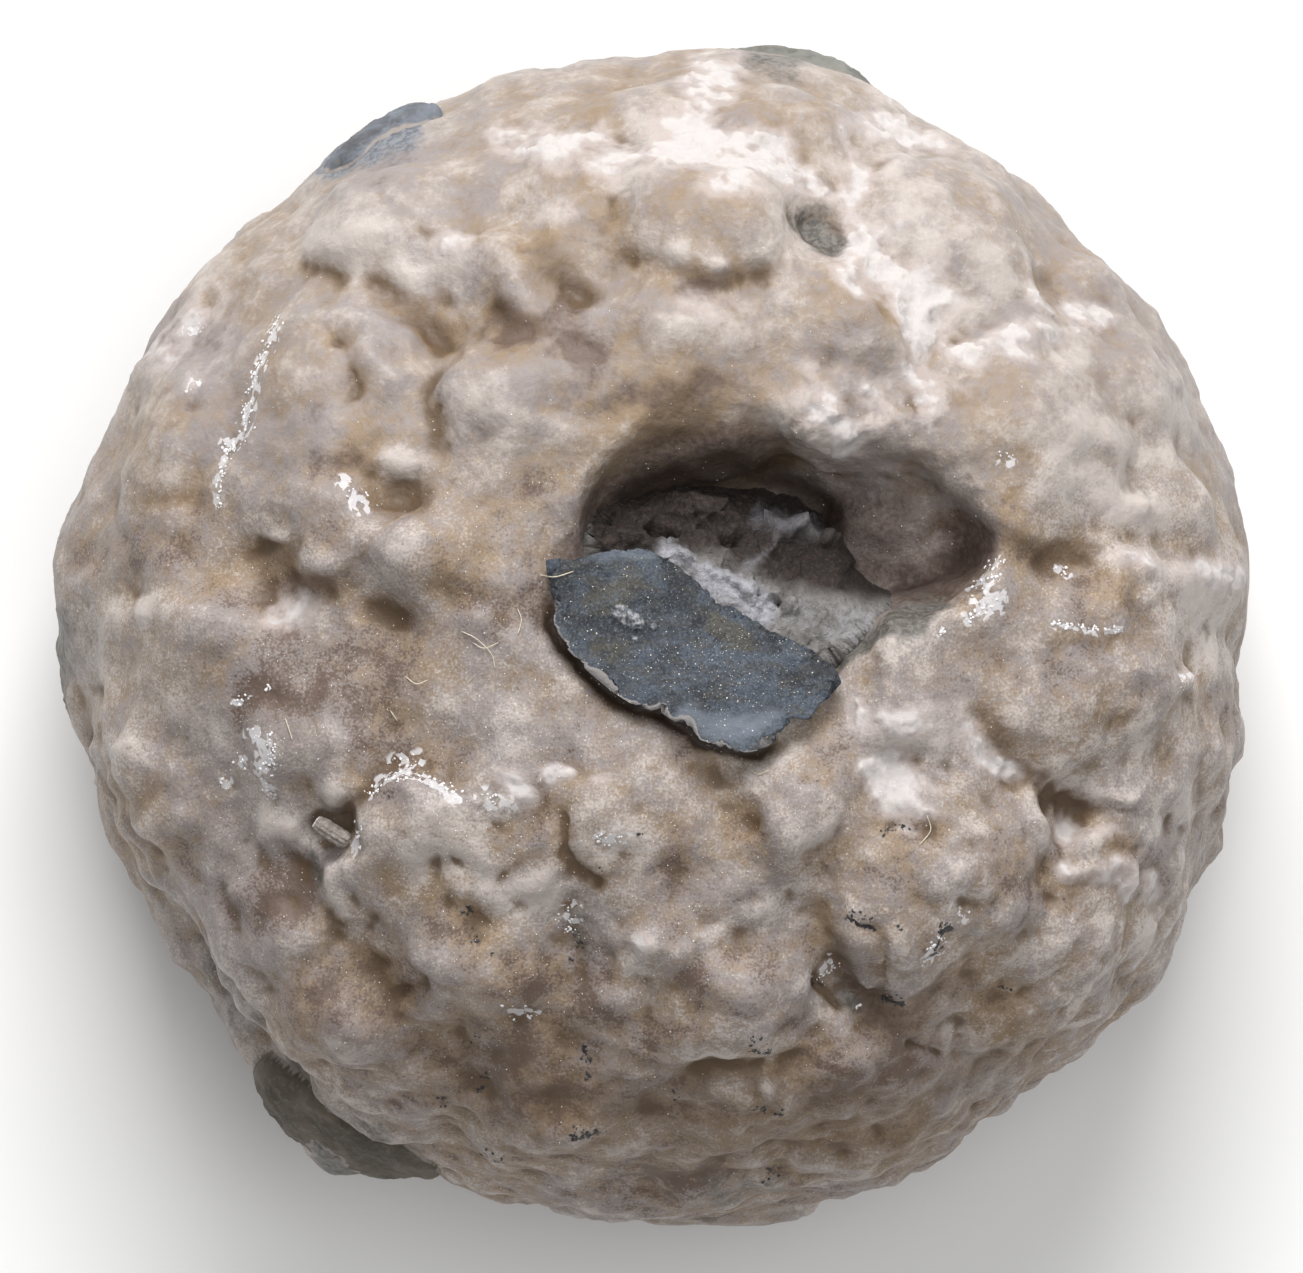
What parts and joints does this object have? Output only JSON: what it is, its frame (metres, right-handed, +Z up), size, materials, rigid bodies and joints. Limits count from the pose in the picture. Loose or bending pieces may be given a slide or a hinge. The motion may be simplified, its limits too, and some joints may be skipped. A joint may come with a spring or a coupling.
{
  "type": "fossil crinoid calyx",
  "caption": "Domed, knobbly fossil cup of a sea lily, lying with its stem pit up: an oval pit with matrix and a thin shale flake across it, and a worn flat base to rest on.",
  "frame": {"origin": "on the resting surface, under the middle of the whole fossil's footprint", "axes": "+Z up, out of the stem pit's side; +X to the right and +Y to the back, with the pit behind and to the right of the crown"},
  "size_m": [0.0324, 0.0322, 0.0189],
  "materials": {
    "calcite": "waxy crystalline calcite, tan and brown bumps, mauve-grey hollows, white veins",
    "matrix": "rough crumbly matrix, whitish to grey-green",
    "shale": "matt dark blue-grey shale with a pale chipped edge and dust",
    "spine": "dull grey-brown calcite with a paler rim"
  },
  "bodies": {
    "root": {"calyx": "calcite", "pit_matrix": "matrix", "shale_flake": "shale", "spine_fragment": "spine", "shale_skin_back_left": "shale", "shale_skin_front_left": "shale", "shale_skin_back": "shale", "shale_skin_left": "shale"}
  },
  "joints": []
}
